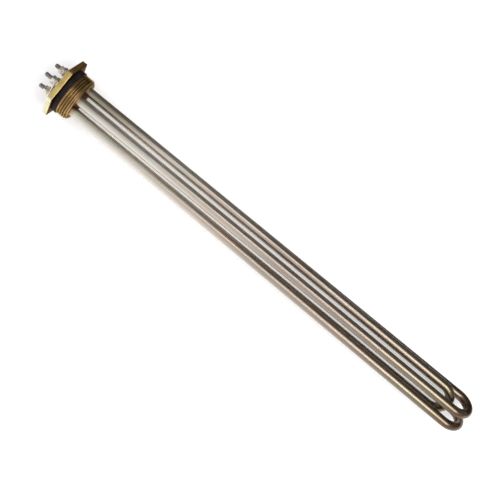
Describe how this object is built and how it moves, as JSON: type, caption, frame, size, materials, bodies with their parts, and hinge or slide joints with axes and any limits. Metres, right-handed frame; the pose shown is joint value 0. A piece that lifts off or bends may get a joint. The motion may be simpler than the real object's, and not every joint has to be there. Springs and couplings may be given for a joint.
{
  "type": "immersion heater element",
  "caption": "Electric immersion heater element: hairpin tubes brazed into a brass hexagon screw plug, with a sealing ring, screw studs and link plates in its terminal recess.",
  "frame": {"origin": "on the plug's axis, at the sealing ring's outer face, where the pipe thread begins", "axes": "+X along the plug's axis from the terminals towards the tube bends, +Z along the normal of the hexagon flat behind the sixth terminal, +Y to the side of the first two terminals"},
  "size_m": [0.4755, 0.0574, 0.05],
  "materials": {
    "brass": "cast and turned, satin",
    "rubber": "moulded, matt",
    "braze": "flowed, satin",
    "sheath": "annealed tube, satin, browned towards the bends",
    "magnesia": "packed powder",
    "winding": "drawn wire",
    "stud": "dull, dark",
    "bush": "moulded, matt",
    "plated": "bright zinc or nickel plating"
  },
  "bodies": {
    "root": {"head": "brass", "seal_ring": "rubber", "braze_fillets": "braze", "sheath_a": "sheath", "magnesia_a": "magnesia", "heating_coil_a": "winding", "sheath_b": "sheath", "magnesia_b": "magnesia", "heating_coil_b": "winding", "sheath_c": "sheath", "magnesia_c": "magnesia", "heating_coil_c": "winding", "terminal_pin_1": "stud", "end_seal_1": "bush", "terminal_pin_2": "stud", "end_seal_2": "bush", "terminal_pin_3": "stud", "end_seal_3": "bush", "terminal_pin_4": "stud", "end_seal_4": "bush", "terminal_pin_5": "stud", "end_seal_5": "bush", "terminal_pin_6": "stud", "end_seal_6": "bush", "link_1": "plated", "link_2": "plated", "link_3": "plated", "link_4": "plated", "lower_nuts": "plated", "upper_nuts": "plated", "flat_washers": "plated", "spring_washers": "plated"}
  },
  "joints": []
}
